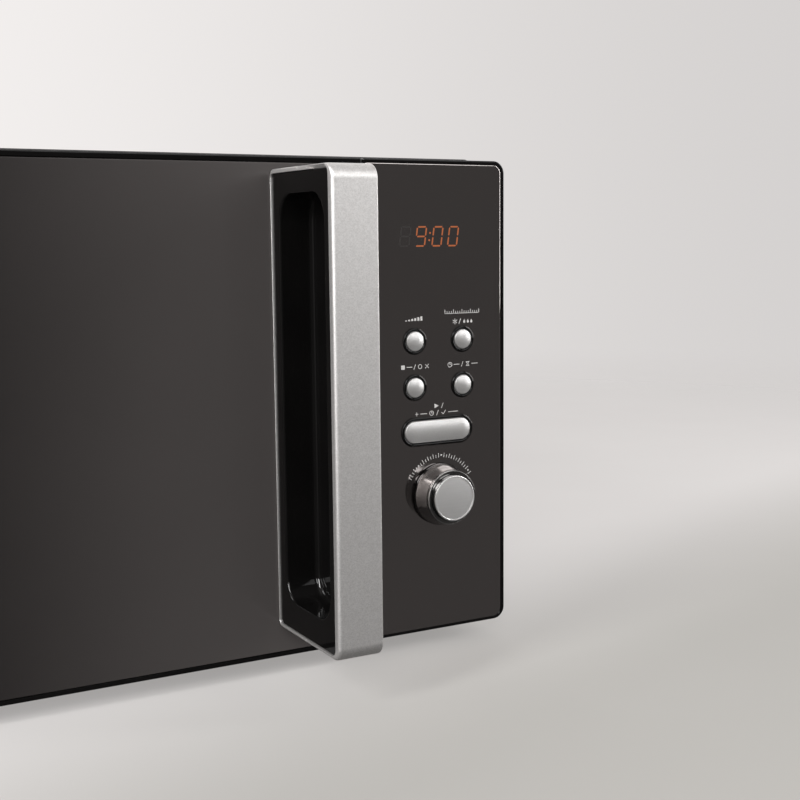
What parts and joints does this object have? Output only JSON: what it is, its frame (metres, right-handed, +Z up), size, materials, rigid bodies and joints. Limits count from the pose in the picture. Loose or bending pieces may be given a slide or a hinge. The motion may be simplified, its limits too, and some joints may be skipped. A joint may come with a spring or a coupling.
{
  "type": "microwave oven",
  "caption": "Countertop microwave oven with a side-hinged dark mirror-glass door, full-height bar handle, push buttons, dial and rotating glass plate.",
  "frame": {"origin": "centre of the footprint, over the handle front and the rear spacer, at the height the feet stand on", "axes": "+X to the right as seen by someone facing the door, +Y from the door to the back, +Z up"},
  "size_m": [0.452, 0.4, 0.2625],
  "materials": {
    "mirror_glass": "dark mirror-coated glass",
    "gloss_black": "high gloss",
    "satin_silver": "satin metallic paint",
    "gunmetal": "dark satin metal",
    "black_paint": "fine textured powder coat",
    "enamel": "light grey cavity enamel",
    "zinc_steel": "zinc-plated sheet",
    "can_aluminium": "drawn aluminium can",
    "moulded_black": "fine moulded grain",
    "moulded_white": "moulded",
    "clear_glass": "clear pressed glass",
    "circuit_board": "green solder mask",
    "mica": "mica sheet",
    "copper": "enamelled copper wire",
    "lamination": "stacked laminations",
    "foot_rubber": "moulded rubber"
  },
  "bodies": {
    "cabinet": {"outer_cover": "black_paint", "front_plate": "enamel", "cavity_liner": "enamel", "base_plate": "zinc_steel", "back_panel": "zinc_steel", "cord_inlet": "moulded_black", "cover_screw_left": "zinc_steel", "cover_screw_right": "zinc_steel", "foot_front_left": "foot_rubber", "foot_front_right": "foot_rubber", "foot_rear_left": "foot_rubber", "foot_rear_right": "foot_rubber", "upper_hinge": "zinc_steel", "lower_hinge": "zinc_steel", "control_housing": "gloss_black", "control_glass": "mirror_glass", "button_surround": "gloss_black", "display_module": "moulded_black", "control_board": "circuit_board", "encoder_body": "zinc_steel", "turntable_motor": "zinc_steel", "waveguide": "zinc_steel", "waveguide_cover": "mica", "magnetron": "zinc_steel", "transformer_core": "lamination", "transformer_winding": "copper", "capacitor": "can_aluminium", "fan_shroud": "moulded_black", "fan_motor": "lamination", "oven_lamp": "clear_glass", "thermal_cutout": "moulded_black", "noise_filter_board": "circuit_board", "interlock_bracket": "moulded_white", "upper_door_switch": "moulded_black", "lower_door_switch": "moulded_black"},
    "door": {"door_bezel": "gloss_black", "door_glass": "mirror_glass", "door_frame": "black_paint", "door_screen": "black_paint", "inner_window": "clear_glass", "choke_cover": "moulded_black", "handle_base": "satin_silver", "handle_cover": "satin_silver", "handle_recess": "gloss_black"},
    "latch": {"door_latch": "moulded_white"},
    "power_key": {"power_button": "satin_silver"},
    "defrost_key": {"defrost_button": "satin_silver"},
    "stop_key": {"stop_button": "satin_silver"},
    "clock_key": {"clock_button": "satin_silver"},
    "start_key": {"start_button": "satin_silver"},
    "dial": {"knob": "gunmetal", "knob_cap": "satin_silver", "encoder_shaft": "zinc_steel"},
    "turntable": {"glass_turntable": "clear_glass", "turntable_coupler": "moulded_white"},
    "ring": {"roller_ring": "moulded_white"},
    "right_wheel": {"roller_right": "moulded_white"},
    "rear_wheel": {"roller_rear": "moulded_white"},
    "front_wheel": {"roller_front": "moulded_white"},
    "fan": {"fan_blade": "moulded_black"}
  },
  "joints": [
    {"name": "door_hinge", "type": "hinge", "parent": "cabinet", "child": "door", "pos_m": [-0.214, -0.114, 0.135], "axis": [0, 0, -1], "range_deg": [0, 94]},
    {"name": "latch_slide", "type": "slide", "parent": "door", "child": "latch", "axis": [0, 0, 1], "range_m": [0, 0.004], "stiffness_N_per_m": 150},
    {"name": "power_press", "type": "slide", "parent": "cabinet", "child": "power_key", "axis": [0, 1, 0], "range_m": [0, 0.0012], "stiffness_N_per_m": 400},
    {"name": "defrost_press", "type": "slide", "parent": "cabinet", "child": "defrost_key", "axis": [0, 1, 0], "range_m": [0, 0.0012], "stiffness_N_per_m": 400},
    {"name": "stop_press", "type": "slide", "parent": "cabinet", "child": "stop_key", "axis": [0, 1, 0], "range_m": [0, 0.0012], "stiffness_N_per_m": 400},
    {"name": "clock_press", "type": "slide", "parent": "cabinet", "child": "clock_key", "axis": [0, 1, 0], "range_m": [0, 0.0012], "stiffness_N_per_m": 400},
    {"name": "start_press", "type": "slide", "parent": "cabinet", "child": "start_key", "axis": [0, 1, 0], "range_m": [0, 0.0012], "stiffness_N_per_m": 400},
    {"name": "dial_turn", "type": "hinge", "parent": "cabinet", "child": "dial", "pos_m": [0.1848, -0.131, 0.0843], "axis": [0, 1, 0], "continuous": true},
    {"name": "turntable_spin", "type": "hinge", "parent": "cabinet", "child": "turntable", "pos_m": [-0.044, 0.043, 0.05], "axis": [0, 0, 1], "continuous": true},
    {"name": "ring_spin", "type": "hinge", "parent": "cabinet", "child": "ring", "pos_m": [-0.044, 0.043, 0.0417], "axis": [0, 0, 1], "continuous": true},
    {"name": "right_wheel_roll", "type": "hinge", "parent": "ring", "child": "right_wheel", "pos_m": [0.052, 0.043, 0.0417], "axis": [1, 0, 0], "continuous": true},
    {"name": "rear_wheel_roll", "type": "hinge", "parent": "ring", "child": "rear_wheel", "pos_m": [-0.092, 0.12614, 0.0417], "axis": [-0.5, 0.866, 0], "continuous": true},
    {"name": "front_wheel_roll", "type": "hinge", "parent": "ring", "child": "front_wheel", "pos_m": [-0.092, -0.04014, 0.0417], "axis": [-0.5, -0.866, 0], "continuous": true},
    {"name": "fan_spin", "type": "hinge", "parent": "cabinet", "child": "fan", "pos_m": [0.166, 0.145, 0.176], "axis": [0, 1, 0], "continuous": true}
  ],
  "couplings": [
    {"joint": "ring_spin", "follows": "turntable_spin", "ratio": 0.5},
    {"joint": "right_wheel_roll", "follows": "turntable_spin", "ratio": -5.7143},
    {"joint": "rear_wheel_roll", "follows": "turntable_spin", "ratio": -5.7143},
    {"joint": "front_wheel_roll", "follows": "turntable_spin", "ratio": -5.7143}
  ]
}
